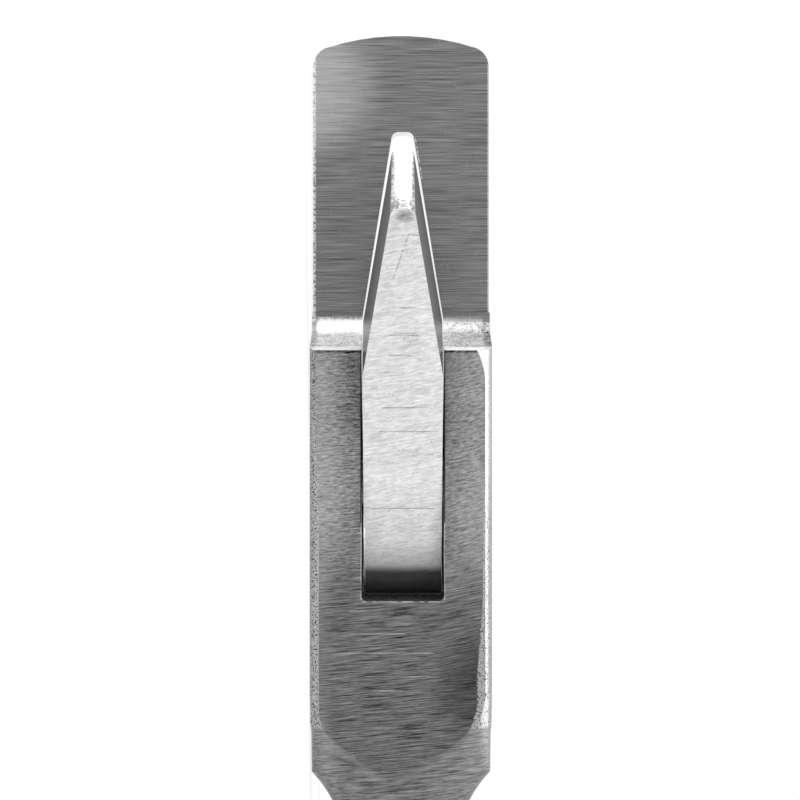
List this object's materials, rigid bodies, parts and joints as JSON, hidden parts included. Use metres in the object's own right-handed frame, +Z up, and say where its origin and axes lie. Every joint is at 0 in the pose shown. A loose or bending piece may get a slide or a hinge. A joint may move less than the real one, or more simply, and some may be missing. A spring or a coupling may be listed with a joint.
{
  "type": "ear notcher",
  "caption": "Plier-like livestock ear notcher: a V punch on one lever passes through a V opening in the other lever's flat die plate.",
  "frame": {"origin": "on the pivot axis, at the flank that the tool rests on", "axes": "+X towards the jaws, +Y towards the punch's side of the die plate, +Z up along the pivot pin"},
  "size_m": [0.22, 0.1077, 0.0257],
  "materials": {
    "plated_steel": "nickel-plated forging with brushed ground faces",
    "pin_steel": "plain steel, riveted and ground",
    "spring_steel": "polished spring steel"
  },
  "bodies": {
    "die_side": {"die_lever": "plated_steel", "pivot_pin": "pin_steel", "die_leaf_spring": "spring_steel", "die_spring_rivet": "pin_steel"},
    "punch_side": {"punch_lever": "plated_steel", "punch_leaf_spring": "spring_steel", "punch_spring_rivet": "pin_steel"}
  },
  "joints": [
    {"name": "jaw_hinge", "type": "hinge", "parent": "die_side", "child": "punch_side", "pos_m": [0, 0, 0.01285], "axis": [0, 0, 1], "range_deg": [-26, 0], "stiffness_Nm_per_rad": 3, "springref_deg": 14.32, "deforming": ["die_leaf_spring", "punch_leaf_spring"]}
  ]
}
